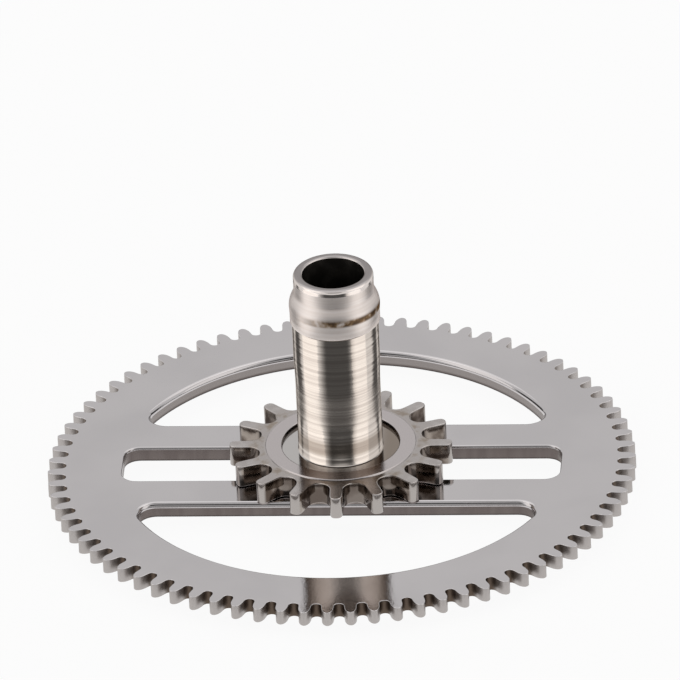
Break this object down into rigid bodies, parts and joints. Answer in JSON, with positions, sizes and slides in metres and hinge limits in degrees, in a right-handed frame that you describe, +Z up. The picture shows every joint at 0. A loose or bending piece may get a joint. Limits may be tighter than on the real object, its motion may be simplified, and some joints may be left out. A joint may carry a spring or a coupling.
{
  "type": "watch minute driving wheel with cannon pinion",
  "caption": "Thin toothed watch wheel with two spring arms, held below a small leaved pinion on the foot of a hollow stepped pipe.",
  "frame": {"origin": "on the axis of the pipe, at the underside of the lip below the wheel", "axes": "+Z up the axis of the pipe towards the minute hand seat; the wheel's two arms run along X"},
  "size_m": [0.0066, 0.0066, 0.0027],
  "materials": {
    "wheel_steel": "nickel-plated steel sheet, fine satin polish",
    "pinion_steel": "nickel-plated steel, polished leaves",
    "pipe_steel": "polished steel with fine turning marks"
  },
  "bodies": {
    "wheel": {"driving_wheel": "wheel_steel"},
    "cannon": {"pinion": "pinion_steel", "pipe": "pipe_steel"}
  },
  "joints": [
    {"name": "hand_setting_slip", "type": "hinge", "parent": "wheel", "child": "cannon", "pos_m": [0, 0, 0.00019], "axis": [0, 0, 1], "continuous": true}
  ]
}
